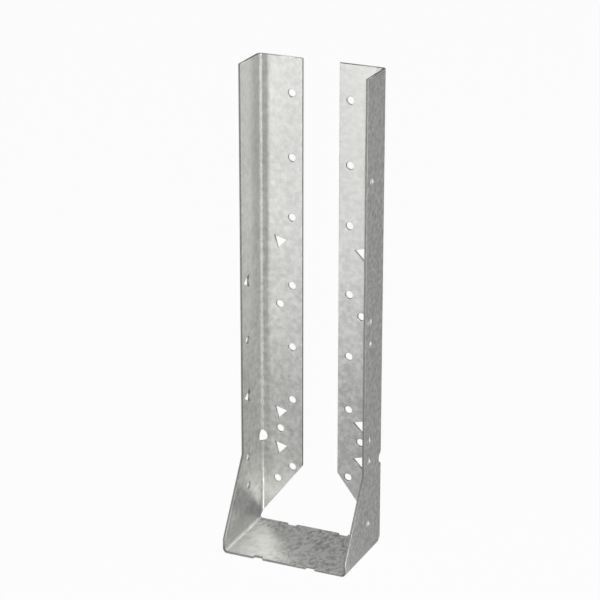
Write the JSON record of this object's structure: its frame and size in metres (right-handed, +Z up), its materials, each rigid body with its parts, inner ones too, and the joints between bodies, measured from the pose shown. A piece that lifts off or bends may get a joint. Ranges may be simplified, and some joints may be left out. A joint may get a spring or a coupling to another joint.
{
  "type": "joist hanger",
  "caption": "Tall face-mount joist hanger folded from galvanised steel sheet, with a flared seat, side plates, and inward flanges punched with round and triangular nail holes.",
  "frame": {"origin": "middle of the width and of the seat depth, on the underside of the seat", "axes": "+Z up along the side plates, -Y towards the joist (the open front), +Y towards the header, +X to the right seen from the front"},
  "size_m": [0.0944, 0.0636, 0.348],
  "materials": {
    "galvanised_steel": "hot-dip galvanised sheet with a faint spangle"
  },
  "bodies": {
    "root": {"hanger": "galvanised_steel"}
  },
  "joints": []
}
